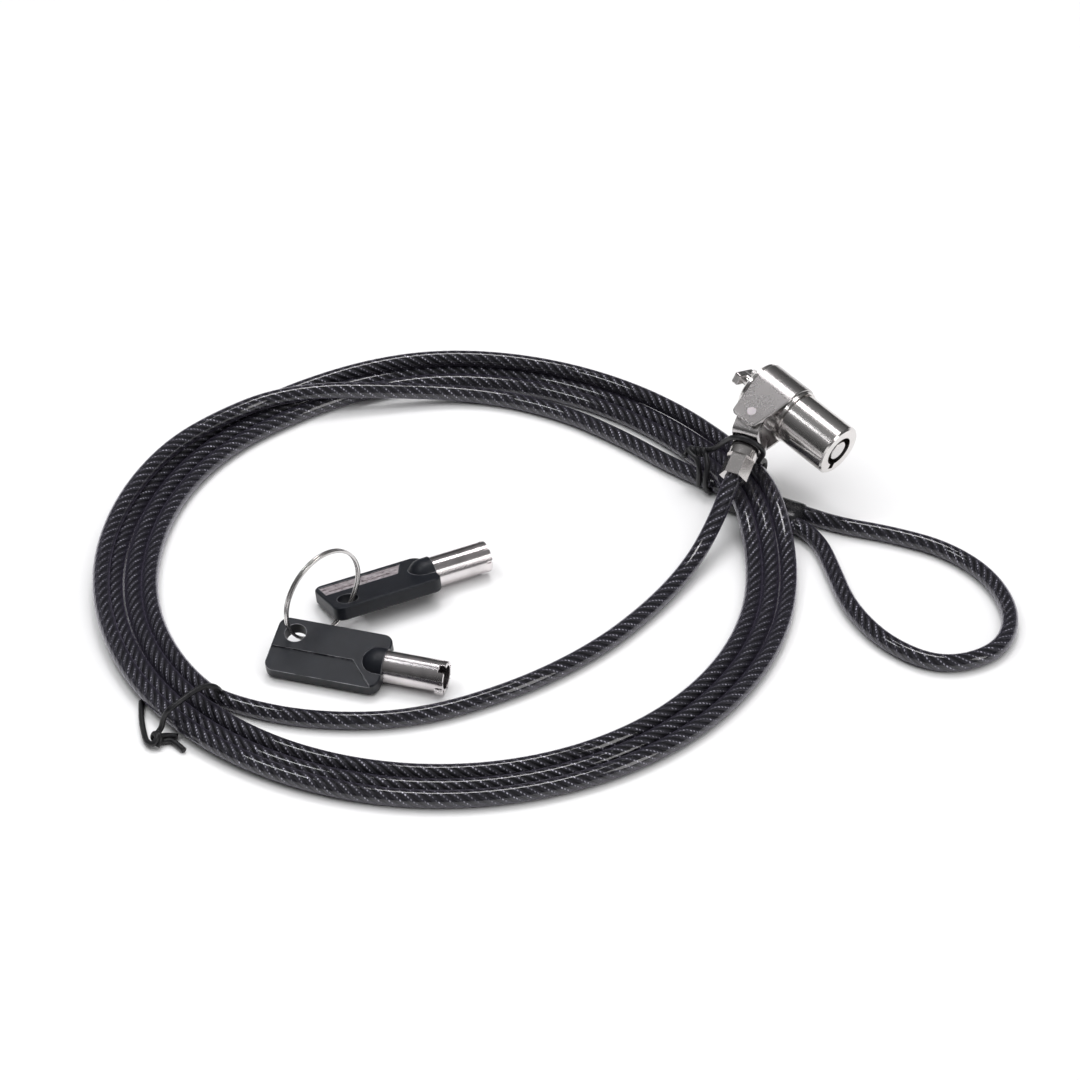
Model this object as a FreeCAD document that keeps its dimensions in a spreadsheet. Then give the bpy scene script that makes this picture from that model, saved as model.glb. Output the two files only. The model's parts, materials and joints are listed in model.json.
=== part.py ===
"""Laptop cable lock: a key-operated T-bar lock on a coiled steel cable, with two tubular keys.

Everything is in millimetres. The cable, the lock and the keys lie on the plane z = 0, with +Z up.
The lock is drawn along its own axis, X from the nose to the key face and Z along the yoke's rivet,
and then placed. The keys are drawn along their own axis, X from the head to the tube, and placed.
"""
import FreeCAD
import Part
import Sketcher
import math
import os

V = FreeCAD.Vector

SIZES = {
    # frame: the point of the table that the origin stands on
    "origin_x": 6.523, "origin_y": -11.777,
    # pose of the lock: rivet centre, and the turn of its own axes
    "rivet_x": 51.5, "rivet_y": 20.2, "rivet_z": 18.9,
    "lock_yaw": -44.7, "lock_pitch": 11.5, "lock_roll": 23.1, "ferrule_swing": 23.3,
    # barrel, along X from the nose
    "key_face": 27.1, "barrel_radius": 6.5, "face_chamfer": 0.4, "barrel_start": 13.25,
    "neck_radius": 6.34, "collar_radius": 6.95, "collar_start": 12.15, "collar_end": 12.9,
    "relief_radius": 6.1, "bore_radius": 4.9, "keyway_radius": 3.8, "face_wall": 1.8,
    # nose
    "nose_radius": 7.0, "nose_flange": 1.0, "nose_round": 0.4, "spigot_end": 3.0, "stem_hole": 1.52,
    "guard_radius": 0.75, "guard_offset": 2.5, "guard_length": 2.9,
    # spindle and its crossbar
    "stem_radius": 1.45, "bar_length": 6.8, "bar_width": 2.8, "bar_thickness": 1.9, "bar_reach": 5.3,
    "flange_radius": 2.6, "flange_start": 3.4, "flange_end": 4.4, "drive_width": 2.0, "drive_length": 2.6,
    # locking core
    "core_radius": 4.85, "block_start": 5.0, "shear_line": 13.9, "rotor_length": 6.0, "post_radius": 2.5,
    "pin_circle": 3.2, "chamber_radius": 0.62, "pin_radius": 0.58, "chamber_start": 6.5,
    "driver_length": 2.5, "dowel_radius": 0.74, "dowel_place": 8.5, "bar_angle": 135.0,
    # yoke, rivet and link
    "strap_inner": 6.42, "strap_sheet": 0.95, "strap_start": 1.1, "strap_end": 12.0, "ear_reach": 11.0,
    "ear_foot_start": 3.4, "ear_foot_end": 10.0, "rivet_place": 7.0, "rivet_drop": 8.2, "rivet_radius": 1.15,
    "rivet_proud": 0.12, "link_gap": 0.17, "link_sheet": 1.15, "link_width": 6.4, "link_top": 2.6,
    "link_reach": 5.4, "link_corner": 1.6, "pin_clearance": 0.05,
    # ferrule and stud
    "stud_radius": 1.3, "stud_head_radius": 2.1, "stud_head_start": 3.3, "stud_head_end": 4.1,
    "ferrule_start": 5.6, "ferrule_neck": 9.4, "ferrule_mouth": 14.9, "ferrule_radius": 3.5,
    "hex_flat": 6.0, "cable_bore": 2.04, "bore_floor": 8.6, "stud_socket": 2.4,
    # cable, its coil, the crimp sleeve and the ties
    "cable_width": 4.0, "coil_x": -22.0, "coil_y": -13.5, "coil_inner": 70.3, "coil_outer": 83.6,
    "coil_height": 7.4, "sleeve_length": 20.5, "sleeve_width": 8.8, "sleeve_height": 5.0,
    "sleeve_x": 53.9, "sleeve_y": 9.8, "sleeve_yaw": -28.0, "tie_wire": 0.6,
    # keys and ring
    "head_length": 27.2, "head_width": 15.0, "head_thickness": 3.4, "head_corner": 2.4, "head_edge": 0.45,
    "boss_radius": 4.0, "boss_start": 11.8, "key_hole_radius": 2.5, "key_hole_end": 4.6, "key_hole_side": 4.1,
    "tube_radius": 3.7, "tube_bore": 2.75, "tube_start": 12.0, "tube_end": 27.9,
    "insert_length": 20.6, "insert_slant": 2.4, "insert_width": 4.5, "insert_thickness": 0.9, "insert_sunk": 0.2,
    "front_key_x": -48.0, "front_key_y": -48.0, "front_key_yaw": -15.8,
    "rear_key_x": -37.7, "rear_key_y": -23.7, "rear_key_yaw": 26.5, "key_tilt": 15.0,
    "ring_outer": 11.6, "ring_band": 0.8, "ring_width": 1.4, "ring_shift": -0.25,
}

PINS = 7
PIN_STEPS = (0.9, 1.9, 1.3, 2.2, 0.6, 1.6, 1.1)   # how far each key pin stands into the keyway

doc = FreeCAD.newDocument("cable_lock")
sheet = doc.addObject("Spreadsheet::Sheet", "sizes")
for row, (name, value) in enumerate(SIZES.items(), start=1):
    sheet.set(f"A{row}", name)
    sheet.set(f"B{row}", str(value))
    sheet.setAlias(f"B{row}", name)
doc.recompute()

nodes = {}


class Size:
    """A number that remembers the spreadsheet expression that it comes from."""

    def __init__(self, value, text):
        self.value = float(value)
        self.text = text

    def __add__(self, other):
        other = size(other)
        return Size(self.value + other.value, f"({self.text} + {other.text})")

    def __sub__(self, other):
        other = size(other)
        return Size(self.value - other.value, f"({self.text} - {other.text})")

    def __mul__(self, other):
        other = size(other)
        return Size(self.value * other.value, f"({self.text} * {other.text})")

    def __neg__(self):
        return Size(-self.value, f"(-1 * {self.text})")


def size(item):
    """A Size from a spreadsheet alias, a plain number or a Size."""
    if isinstance(item, Size):
        return item
    if isinstance(item, str):
        return Size(SIZES[item], f"sizes.{item}")
    return Size(item, str(item))


def mm(alias):
    return SIZES[alias]


def bind(thing, prop, item):
    """Set a property to a size and tie it to the spreadsheet."""
    item = size(item)
    setattr(thing, prop, item.value)
    thing.setExpression(prop, item.text)


def place(x, y, z):
    """A point of the table in the part's frame."""
    return V(x - mm("origin_x"), y - mm("origin_y"), z)


# --- placements ---------------------------------------------------------------------------------

LOCK_TURN = FreeCAD.Rotation(mm("lock_yaw"), mm("lock_pitch"), mm("lock_roll"))
RIVET_CENTRE = place(mm("rivet_x"), mm("rivet_y"), mm("rivet_z"))
LOCK_NOSE = RIVET_CENTRE - LOCK_TURN.multVec(V(mm("rivet_place"), -mm("rivet_drop"), 0))
LOCK = FreeCAD.Placement(LOCK_NOSE, LOCK_TURN)
LINK = FreeCAD.Placement(RIVET_CENTRE, LOCK_TURN.multiply(FreeCAD.Rotation(mm("ferrule_swing"), 0, 0)))


# --- small builders -----------------------------------------------------------------------------

def keep(name, thing, placement=None):
    """Name an object as a node of the assembly."""
    thing.Label = name
    if placement is not None:
        thing.Placement = placement
    nodes[name] = thing
    return thing


def plane_of(body, role):
    return next(item for item in body.Origin.OriginFeatures if item.Role == role)


def outline_sketch(body, role, corners, offset=0.0):
    """A closed outline of straight sides on one of the body's own planes."""
    sketch = body.newObject("Sketcher::SketchObject", "outline")
    sketch.AttachmentSupport = [(plane_of(body, role), "")]
    sketch.MapMode = "FlatFace"
    sketch.AttachmentOffset = FreeCAD.Placement(V(0, 0, offset), FreeCAD.Rotation())
    corners = [(size(a), size(b)) for a, b in corners]
    count = len(corners)
    for index in range(count):
        start = corners[index]
        end = corners[(index + 1) % count]
        line = Part.LineSegment(V(start[0].value, start[1].value, 0), V(end[0].value, end[1].value, 0))
        sketch.addGeometry(line, False)
    for index in range(count):
        sketch.addConstraint(Sketcher.Constraint("Coincident", index, 2, (index + 1) % count, 1))
    for index, (across, up) in enumerate(corners):
        hold_corner(sketch, index, "X", across)
        hold_corner(sketch, index, "Y", up)
    return sketch


def hold_corner(sketch, index, axis, item):
    """Fix one coordinate of a sketch corner to its size."""
    if item.value == 0:
        line = -2 if axis == "X" else -1
        sketch.addConstraint(Sketcher.Constraint("PointOnObject", index, 1, line))
        return
    name = f"corner{index}{axis.lower()}"
    number = sketch.addConstraint(Sketcher.Constraint(f"Distance{axis}", -1, 1, index, 1, item.value))
    sketch.renameConstraint(number, name)
    sketch.setExpression(f"Constraints.{name}", item.text)


def turned(name, profile, placement):
    """A turned piece: a profile of (x, radius) corners revolved about X."""
    body = doc.addObject("PartDesign::Body", name)
    sketch = outline_sketch(body, "XY_Plane", profile)
    turn = body.newObject("PartDesign::Revolution", "turn")
    turn.Profile = sketch
    turn.ReferenceAxis = (sketch, ["H_Axis"])
    turn.Angle = 360
    return keep(name, body, placement)


def drill(body, role, centres, radius):
    """Round through holes in a body, square to one of its planes."""
    sketch = body.newObject("Sketcher::SketchObject", "holes")
    sketch.AttachmentSupport = [(plane_of(body, role), "")]
    sketch.MapMode = "FlatFace"
    for across, up in centres:
        index = sketch.addGeometry(Part.Circle(V(across, up, 0), V(0, 0, 1), size(radius).value), False)
        number = sketch.addConstraint(Sketcher.Constraint("Radius", index, size(radius).value))
        sketch.renameConstraint(number, f"hole{index}")
        sketch.setExpression(f"Constraints.hole{index}", size(radius).text)
        sketch.addConstraint(Sketcher.Constraint("Block", index))
    pocket = body.newObject("PartDesign::Pocket", "drilled")
    pocket.Profile = sketch
    pocket.Type = 1
    pocket.Midplane = True
    return pocket


def rod(name, start, end, radius, centre=(0.0, 0.0), axis="X"):
    """A Part cylinder along an axis, from start to end, bound to the sheet."""
    cylinder = doc.addObject("Part::Cylinder", name)
    bind(cylinder, "Radius", radius)
    bind(cylinder, "Height", size(end) - size(start))
    low = size(start).value
    spots = {
        "X": (V(low, *centre), V(0, 1, 0), 90),
        "Y": (V(centre[0], low, centre[1]), V(1, 0, 0), -90),
        "Z": (V(*centre, low), V(0, 0, 1), 0),
    }
    position, about, angle = spots[axis]
    cylinder.Placement = FreeCAD.Placement(position, FreeCAD.Rotation(about, angle))
    return cylinder


def block(name, lengths, corner, turn=None):
    """A Part box of bound lengths, with its low corner at a point, turned about X if asked."""
    box = doc.addObject("Part::Box", name)
    for prop, item in zip(("Length", "Width", "Height"), lengths):
        bind(box, prop, item)
    box.Placement = FreeCAD.Placement(V(*corner), FreeCAD.Rotation())
    if turn is not None:
        box.Placement = FreeCAD.Placement(V(), FreeCAD.Rotation(V(1, 0, 0), turn)).multiply(box.Placement)
    return box


def fuse(name, pieces):
    joined = doc.addObject("Part::MultiFuse", name)
    joined.Shapes = pieces
    return joined


def group(name, pieces):
    together = doc.addObject("Part::Compound", name)
    together.Links = pieces
    return together


def cut(name, base, tool):
    result = doc.addObject("Part::Cut", name)
    result.Base = base
    result.Tool = tool
    return result


def rounded(name, base, radius, chosen):
    """Round the edges of an object that the test picks."""
    doc.recompute()
    result = doc.addObject("Part::Fillet", name)
    result.Base = base
    picked = [(number, radius, radius) for number, edge in enumerate(base.Shape.Edges, start=1) if chosen(edge)]
    result.Edges = picked
    return result


def pin_spots():
    """The centres (y, z) of the pin chambers, evenly round the core."""
    angles = [2 * math.pi * number / PINS for number in range(PINS)]
    return [(mm("pin_circle") * math.cos(angle), mm("pin_circle") * math.sin(angle)) for angle in angles]


# --- lock barrel and nose -----------------------------------------------------------------------

def barrel():
    """Chromed barrel: neck for the yoke, collar, gripping length and the annular keyway's outer wall."""
    face = size("key_face")
    chamfer = size("face_chamfer")
    profile = [
        ("nose_flange", "neck_radius"), ("collar_start", "neck_radius"), ("collar_start", "collar_radius"),
        ("collar_end", "collar_radius"), ("collar_end", "relief_radius"), ("barrel_start", "relief_radius"),
        ("barrel_start", "barrel_radius"), (face - chamfer, "barrel_radius"),
        (face, size("barrel_radius") - chamfer), (face, "keyway_radius"),
        (face - "face_wall", "keyway_radius"), (face - "face_wall", "bore_radius"), ("nose_flange", "bore_radius"),
    ]
    shell = turned("barrel_turned", profile, None)
    nodes.pop("barrel_turned")
    notch = block("key_notch", (2.4, 1.6, 1.7), (mm("key_face") - 2.1, 3.5, -0.85), mm("bar_angle") + 90)
    dowel_hole = rod("dowel_hole", 3.9, 7.5, size("dowel_radius") + 0.01, (mm("dowel_place"), 0.0), "Y")
    keep("lock_barrel", cut("barrel_cut", shell, fuse("barrel_tools", [notch, dowel_hole])), LOCK)


def nose():
    """Nose cap with a spigot in the bore, and the guard pins that stop the lock turning in its slot."""
    profile = [
        (0, "stem_hole"), (0, size("nose_radius") - "nose_round"), ("nose_round", "nose_radius"),
        ("nose_flange", "nose_radius"), ("nose_flange", "core_radius"), ("spigot_end", "core_radius"),
        ("spigot_end", "stem_hole"),
    ]
    body = turned("nose_cap", profile, LOCK)
    angle = math.radians(mm("bar_angle") + 90)
    spots = [(side * mm("guard_offset") * math.cos(angle), side * mm("guard_offset") * math.sin(angle))
             for side in (1, -1)]
    drill(body, "YZ_Plane", spots, "guard_radius")
    pins = [rod(f"guard{number}", -mm("guard_length"), size("spigot_end") - 0.6, "guard_radius", spot)
            for number, spot in enumerate(spots)]
    tips = [rounded(f"guard_tip{number}", pin, 0.25, lambda edge: edge.CenterOfMass.x < 0 and edge.Closed)
            for number, pin in enumerate(pins)]
    keep("anti_rotation_pins", group("guard_group", tips), LOCK)


# --- turning core -------------------------------------------------------------------------------

def spindle():
    """Spindle: T-shaped crossbar, stem, retaining flange and the square that the rotor drives."""
    reach = -mm("bar_reach")
    stem = rod("stem", reach + 0.5, "shear_line", "stem_radius")
    flange = rod("spindle_flange", "flange_start", "flange_end", "flange_radius")
    half = mm("drive_width") / 2
    square = block("drive_square", ("drive_length", "drive_width", "drive_width"),
                   (mm("shear_line") - 0.1, -half, -half), mm("bar_angle"))
    bar = block("crossbar_block", ("bar_thickness", "bar_length", "bar_width"),
                (reach, -mm("bar_length") / 2, -mm("bar_width") / 2), mm("bar_angle"))
    bar_rounded = rounded("crossbar", bar, 0.3, lambda edge: True)
    keep("t_bar_spindle", fuse("spindle_fused", [bar_rounded, stem, flange, square]), LOCK)


def rotor():
    """Rotor: the plug that the key turns, with the centre post and its ring of pin holes."""
    start = size("shear_line") + 0.05
    disc_end = start + "rotor_length"
    post_end = size("key_face") - 0.2
    disc = rod("rotor_disc", start, disc_end, "core_radius")
    post = rod("rotor_post", start, post_end, "post_radius")
    post_edge = rounded("rotor_post_edge", post, 0.25,
                        lambda edge: edge.Closed and edge.CenterOfMass.x > mm("key_face") - 1)
    half = mm("drive_width") / 2 + 0.03
    socket = block("drive_socket", (size("drive_length") + 0.3, size("drive_width") + 0.06,
                                    size("drive_width") + 0.06),
                   (mm("shear_line") - 0.2, -half, -half), mm("bar_angle"))
    holes = [rod(f"rotor_hole{number}", start - 1, disc_end + 1, "chamber_radius", spot)
             for number, spot in enumerate(pin_spots())]
    blank = fuse("rotor_blank", [disc, post_edge])
    keep("rotor", cut("rotor_cut", blank, fuse("rotor_tools", [socket] + holes)), LOCK)


def pin_stacks():
    """Fixed pin block, the seven pin stacks at the shear line, their springs and the retaining dowel."""
    block_body = rod("pin_block_blank", "block_start", "shear_line", "core_radius")
    bore = rod("pin_block_bore", 4, 15, "stem_hole")
    chambers = [rod(f"chamber{number}", "chamber_start", 15, "chamber_radius", spot)
                for number, spot in enumerate(pin_spots())]
    dowel_seat = rod("dowel_seat", 3.9, 5.5, size("dowel_radius") + 0.01, (mm("dowel_place"), 0.0), "Y")
    tools = fuse("pin_block_tools", [bore, dowel_seat] + chambers)
    keep("pin_block", cut("pin_block_cut", block_body, tools), LOCK)
    dowel = rod("dowel", 3.95, 6.25, "dowel_radius", (mm("dowel_place"), 0.0), "Y")
    keep("retaining_dowel", rounded("dowel_ends", dowel, 0.12, lambda edge: edge.Closed), LOCK)
    rotor_end = size("shear_line") + 0.05 + "rotor_length"
    key_pins = [rod(f"key_pin{number}", size("shear_line") + 0.1, rotor_end + PIN_STEPS[number],
                    "pin_radius", spot) for number, spot in enumerate(pin_spots())]
    keep("key_pins", group("key_pin_group", key_pins), LOCK)
    driver_start = size("shear_line") - "driver_length"
    drivers = [rod(f"driver{number}", driver_start, size("shear_line") - 0.05, "pin_radius", spot)
               for number, spot in enumerate(pin_spots())]
    keep("driver_pins", group("driver_group", drivers), LOCK)
    springs = []
    for number, spot in enumerate(pin_spots()):
        outside = rod(f"spring_outside{number}", size("chamber_start") + 0.05, driver_start - 0.05,
                      "pin_radius", spot)
        inside = rod(f"spring_inside{number}", 5, 13, 0.4, spot)
        springs.append(cut(f"spring{number}", outside, inside))
    keep("pin_springs", group("spring_group", springs), LOCK)


# --- yoke, rivet, link --------------------------------------------------------------------------

def strap_outline(inner, sheet_width, reach):
    """The closed outline of a U of sheet: a half round strap with two straight legs."""
    outer = inner + sheet_width
    top = V(0, 0, outer)
    edges = [
        Part.LineSegment(V(0, -reach, outer), top),
        Part.Arc(top, V(0, outer, 0), V(0, 0, -outer)),
        Part.LineSegment(V(0, 0, -outer), V(0, -reach, -outer)),
        Part.LineSegment(V(0, -reach, -outer), V(0, -reach, -inner)),
        Part.LineSegment(V(0, -reach, -inner), V(0, 0, -inner)),
        Part.Arc(V(0, 0, -inner), V(0, inner, 0), V(0, 0, inner)),
        Part.LineSegment(V(0, 0, inner), V(0, -reach, inner)),
        Part.LineSegment(V(0, -reach, inner), V(0, -reach, outer)),
    ]
    return Part.Face(Part.Wire([edge.toShape() for edge in edges]))


def ear_side(x, foot, reach):
    """A wedge that trims one side of both ears from the strap's edge to the ear's foot."""
    away = x - 12 if foot > x else x + 12
    corners = [V(x, -0.6, 0), V(foot, -reach - 1, 0), V(away, -reach - 1, 0), V(away, -0.6, 0)]
    face = Part.Face(Part.makePolygon(corners + [corners[0]]))
    return face.extrude(V(0, 0, 40)).translated(V(0, 0, -20))


def yoke():
    """Bent strap round the barrel's neck, its two tapered ears, and the rivet through them."""
    strap = strap_outline(mm("strap_inner"), mm("strap_sheet"), mm("ear_reach"))
    strap = strap.extrude(V(mm("strap_end") - mm("strap_start"), 0, 0)).translated(V(mm("strap_start"), 0, 0))
    strap = strap.cut(ear_side(mm("strap_start"), mm("ear_foot_start"), mm("ear_reach")))
    strap = strap.cut(ear_side(mm("strap_end"), mm("ear_foot_end"), mm("ear_reach")))
    hole = Part.makeCylinder(mm("rivet_radius"), 30, V(mm("rivet_place"), -mm("rivet_drop"), -15))
    strap = strap.cut(hole)
    outer = mm("strap_inner") + mm("strap_sheet")
    corners = [edge for edge in strap.Edges if is_ear_corner(edge)]
    strap = strap.makeFillet(0.9, corners)
    rims = [edge for edge in strap.Edges if is_outer_rim(edge, outer)]
    strap = strap.makeFillet(0.3, rims)
    feature = doc.addObject("Part::Feature", "yoke")
    feature.Shape = strap
    keep("yoke", feature, LOCK)
    end = outer + mm("rivet_proud")
    shank = rod("rivet_shank", -end, end, "rivet_radius", (mm("rivet_place"), -mm("rivet_drop")), "Z")
    keep("yoke_rivet", rounded("rivet_ends", shank, 0.1, lambda edge: edge.Closed), LOCK)


def is_ear_corner(edge):
    """True for the short edges through the sheet at the feet of the ears."""
    middle = edge.CenterOfMass
    return middle.y < -mm("ear_reach") + 0.5 and abs(edge.Length - mm("strap_sheet")) < 0.01


def is_outer_rim(edge, outer):
    """True for the edges that bound the strap's outer face, away from the rivet's hole."""
    if edge.Closed:
        return False
    spots = [vertex.Point for vertex in edge.Vertexes] + [edge.valueAt(
        (edge.FirstParameter + edge.LastParameter) / 2)]
    for spot in spots:
        on_flat = spot.y <= 0.001 and abs(abs(spot.z) - outer) < 0.01
        on_round = spot.y > -0.001 and abs(math.hypot(spot.y, spot.z) - outer) < 0.01
        if not (on_flat or on_round):
            return False
    along = abs(spots[0].x - spots[1].x) > mm("strap_end") - mm("strap_start") - 1.0
    return not along


def link():
    """U-shaped link between the ears: two legs on the rivet and a web for the swivel stud."""
    outer = mm("strap_inner") - mm("link_gap")
    inner = outer - mm("link_sheet")
    half = mm("link_width") / 2
    reach = mm("link_reach")
    shape = Part.makeBox(mm("link_width"), reach + mm("link_top"), 2 * outer, V(-half, -reach, -outer))
    bends = [edge for edge in shape.Edges if is_link_bend(edge, reach)]
    shape = shape.makeFillet(mm("link_corner"), bends)
    inside_reach = reach - mm("link_sheet")
    hollow = Part.makeBox(2 * mm("link_width"), inside_reach + 5, 2 * inner, V(-2 * half, -inside_reach, -inner))
    hollow_bends = [edge for edge in hollow.Edges if is_link_bend(edge, inside_reach)]
    shape = shape.cut(hollow.makeFillet(0.5, hollow_bends))
    rounding = Part.makeCylinder(mm("link_top"), 30, V(0, 0, -15))
    tail = Part.makeBox(mm("link_width"), reach, 30, V(-half, -reach, -15))
    shape = shape.common(rounding.fuse(tail))
    shape = shape.cut(Part.makeCylinder(mm("rivet_radius") + mm("pin_clearance"), 30, V(0, 0, -15)))
    stud_hole = Part.makeCylinder(mm("stud_radius") + mm("pin_clearance"), 20, V(0, 0, 0), V(0, -1, 0))
    feature = doc.addObject("Part::Feature", "link")
    feature.Shape = shape.cut(stud_hole)
    keep("swivel_link", feature, LINK)


def is_link_bend(edge, reach):
    """True for the long edges along X where the web turns into a leg."""
    middle = edge.CenterOfMass
    return abs(middle.y + reach) < 0.01 and abs(middle.x) < 0.01 and edge.Length > 2


# --- ferrule ------------------------------------------------------------------------------------

def along_cable(name, start, end, radius):
    """A cylinder on the ferrule's axis, which runs down -Y of the link's frame."""
    return rod(name, -size(end), -size(start), radius, (0.0, 0.0), "Y")


def ferrule():
    """Headed swivel stud, and the ferrule crimped on the cable with six flats."""
    head = along_cable("stud_head", "stud_head_start", "stud_head_end", "stud_head_radius")
    shank = along_cable("stud_shank", "stud_head_start", size("ferrule_start") + "stud_socket", "stud_radius")
    keep("swivel_stud", fuse("stud_fused", [head, shank]), LINK)
    crown = along_cable("ferrule_crown", "ferrule_start", "ferrule_neck", "ferrule_radius")
    crown_rounded = rounded("ferrule_crown_rounded", crown, 0.5,
                            lambda edge: edge.Closed and edge.CenterOfMass.y > -mm("ferrule_start") - 0.5)
    prism = doc.addObject("Part::Prism", "ferrule_flats")
    prism.Polygon = 6
    bind(prism, "Circumradius", size("hex_flat") * (0.5 / math.cos(math.pi / 6)))
    bind(prism, "Height", size("ferrule_mouth") - "ferrule_neck" + 0.2)
    prism.Placement = FreeCAD.Placement(V(0, -mm("ferrule_neck") + 0.2, 0), FreeCAD.Rotation(V(1, 0, 0), 90))
    bore = along_cable("ferrule_bore", "bore_floor", size("ferrule_mouth") + 1, "cable_bore")
    socket = along_cable("ferrule_socket", 5, size("ferrule_start") + "stud_socket", "stud_radius")
    blank = fuse("ferrule_blank", [crown_rounded, prism])
    keep("cable_ferrule", cut("ferrule_cut", blank, fuse("ferrule_tools", [bore, socket])), LINK)


# --- cable --------------------------------------------------------------------------------------

def arc_run(points):
    """Straight runs joined by tangent arcs, as large as the runs allow. Returns the wire and its length."""
    edges = []
    start = points[0]
    radii = []
    for index in range(1, len(points) - 1):
        corner = points[index]
        back = points[index - 1] - corner
        ahead = points[index + 1] - corner
        shorter = min(back.Length, ahead.Length)
        turn = math.pi - back.getAngle(ahead)
        trim = 0.45 * shorter
        radii.append(trim / math.tan(turn / 2))
        first = corner + back.normalize() * trim
        last = corner + ahead.normalize() * trim
        bisector = (back + ahead).normalize()
        middle = corner + bisector * (radii[-1] / math.cos(turn / 2) - radii[-1])
        edges.append(Part.LineSegment(start, first).toShape())
        edges.append(Part.Arc(first, middle, last).toShape())
        start = last
    edges.append(Part.LineSegment(start, points[-1]).toShape())
    return Part.Wire(edges), radii


def cable_tube(name, points):
    """A length of cable along its route, with its volume held against its section times its length."""
    wire, radii = arc_run(points)
    direction = points[1] - points[0]
    radius = mm("cable_width") / 2
    section = Part.Wire(Part.makeCircle(radius, points[0], direction))
    tube = wire.makePipeShell([section], True, False)
    ratio = tube.Volume / (math.pi * radius ** 2 * wire.Length)
    print(name, "length", round(wire.Length, 1), "volume ratio", round(ratio, 4),
          "arc radii", [round(value, 1) for value in radii])
    feature = doc.addObject("Part::Feature", name)
    feature.Shape = tube
    keep(name, feature)
    return feature


LEAD = [(41.6, -2.3, 7.2), (35.8, -13.2, 3.0), (26.5, -27.6, 2.0), (13.0, -43.6, 2.0), (-5.5, -57.6, 2.0),
        (-28.5, -68.0, 2.0), (-52.0, -68.4, 2.0), (-71.5, -62.0, 2.2)]
TAIL = [(-40.0, 56.2, 2.0), (-16.0, 57.4, 2.0), (4.5, 50.0, 2.0), (20.0, 38.6, 2.0), (33.0, 26.2, 2.0),
        (46.6, 16.1, 2.4)]
EYE = [(63.2, 7.2, 2.4), (71.5, 3.2, 2.0), (83.5, -0.2, 2.0), (96.5, -6.0, 2.0), (106.3, -17.0, 2.0),
       (110.0, -32.0, 2.0), (105.0, -44.5, 2.0), (92.0, -49.6, 2.0), (80.0, -42.0, 2.0), (72.0, -28.5, 2.0),
       (69.0, -14.0, 2.0), (66.6, -3.6, 2.0), (61.2, 3.6, 2.4)]


def cable():
    """The cable: its lead from the ferrule, the tail into the crimp sleeve and the eye out of it."""
    start = LINK.multVec(V(0, -mm("bore_floor"), 0))
    cable_tube("cable_lead", [start] + [place(*point) for point in LEAD])
    tail = cable_tube("cable_tail", [place(*point) for point in TAIL])
    eye = cable_tube("cable_eye", [place(*point) for point in EYE])
    sleeve = doc.addObject("Part::Feature", "sleeve")
    sleeve.Shape = sleeve_shape(0.4).cut(tail.Shape).cut(eye.Shape)
    keep("crimp_sleeve", sleeve)


def coil():
    """The turns of the coil as one ring, flat underneath, with a gap where the crimp sleeve lies under it."""
    centre = place(mm("coil_x"), mm("coil_y"), 0)
    ring = Part.makeCylinder(mm("coil_outer"), mm("coil_height"), centre)
    ring = ring.cut(Part.makeCylinder(mm("coil_inner"), mm("coil_height"), centre))
    ring = ring.makeFillet(2.0, [edge for edge in ring.Edges if edge.Closed])
    length, width, height = mm("sleeve_length") + 0.6, mm("sleeve_width") + 0.6, mm("sleeve_height") + 0.3
    gap = Part.makeBox(length, width, height + 1, V(-length / 2, -width / 2, -1))
    gap.Placement = FreeCAD.Placement(place(mm("sleeve_x"), mm("sleeve_y"), 0),
                                      FreeCAD.Rotation(V(0, 0, 1), mm("sleeve_yaw")))
    feature = doc.addObject("Part::Feature", "coil")
    feature.Shape = ring.cut(gap)
    keep("cable_coil", feature)


def sleeve_shape(edge_round):
    """Oval crimp sleeve under its smooth cover, lying flat on the table."""
    length, width, height = mm("sleeve_length"), mm("sleeve_width"), mm("sleeve_height")
    box = Part.makeBox(length, width, height, V(-length / 2, -width / 2, 0))
    box = box.makeFillet(height / 2 - 0.05, [edge for edge in box.Edges if abs(edge.Length - length) < 0.01])
    ends = [edge for edge in box.Edges if abs(abs(edge.CenterOfMass.x) - length / 2) < 0.01]
    box = box.makeFillet(edge_round, ends)
    turn = FreeCAD.Rotation(V(0, 0, 1), mm("sleeve_yaw"))
    box.Placement = FreeCAD.Placement(place(mm("sleeve_x"), mm("sleeve_y"), 0), turn)
    return box


# --- ties ---------------------------------------------------------------------------------------

def band(angle, inside, outside):
    """A thin round wire bent into a rounded frame round the coil at an angle from its centre."""
    wire = mm("tie_wire")
    top = mm("coil_height") + wire + 0.1
    middle = (inside + outside) / 2
    half_width = (outside - inside) / 2
    corner = 2.4
    path = [V(-half_width, 0, wire), V(half_width, 0, wire), V(half_width, 0, top), V(-half_width, 0, top)]
    edges = []
    for index in range(4):
        here = path[index]
        before = (path[index - 1] - here).normalize() * corner
        after = (path[(index + 1) % 4] - here).normalize() * corner
        inner = here + (before + after).normalize() * (math.sqrt(2) - 1) * corner
        edges.append(Part.Arc(here + before, inner, here + after).toShape())
        follower = path[(index + 1) % 4]
        edges.append(Part.LineSegment(here + after, follower + (here - follower).normalize() * corner).toShape())
    loop = Part.Wire(edges)
    section = Part.Wire(Part.makeCircle(wire, loop.Vertexes[0].Point, loop.Edges[0].tangentAt(0)))
    frame = loop.makePipeShell([section], True, False)
    turn = FreeCAD.Rotation(V(0, 0, 1), angle)
    centre = place(mm("coil_x"), mm("coil_y"), 0) + turn.multVec(V(middle, 0, 0))
    frame.Placement = FreeCAD.Placement(centre, turn)
    return frame


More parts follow.
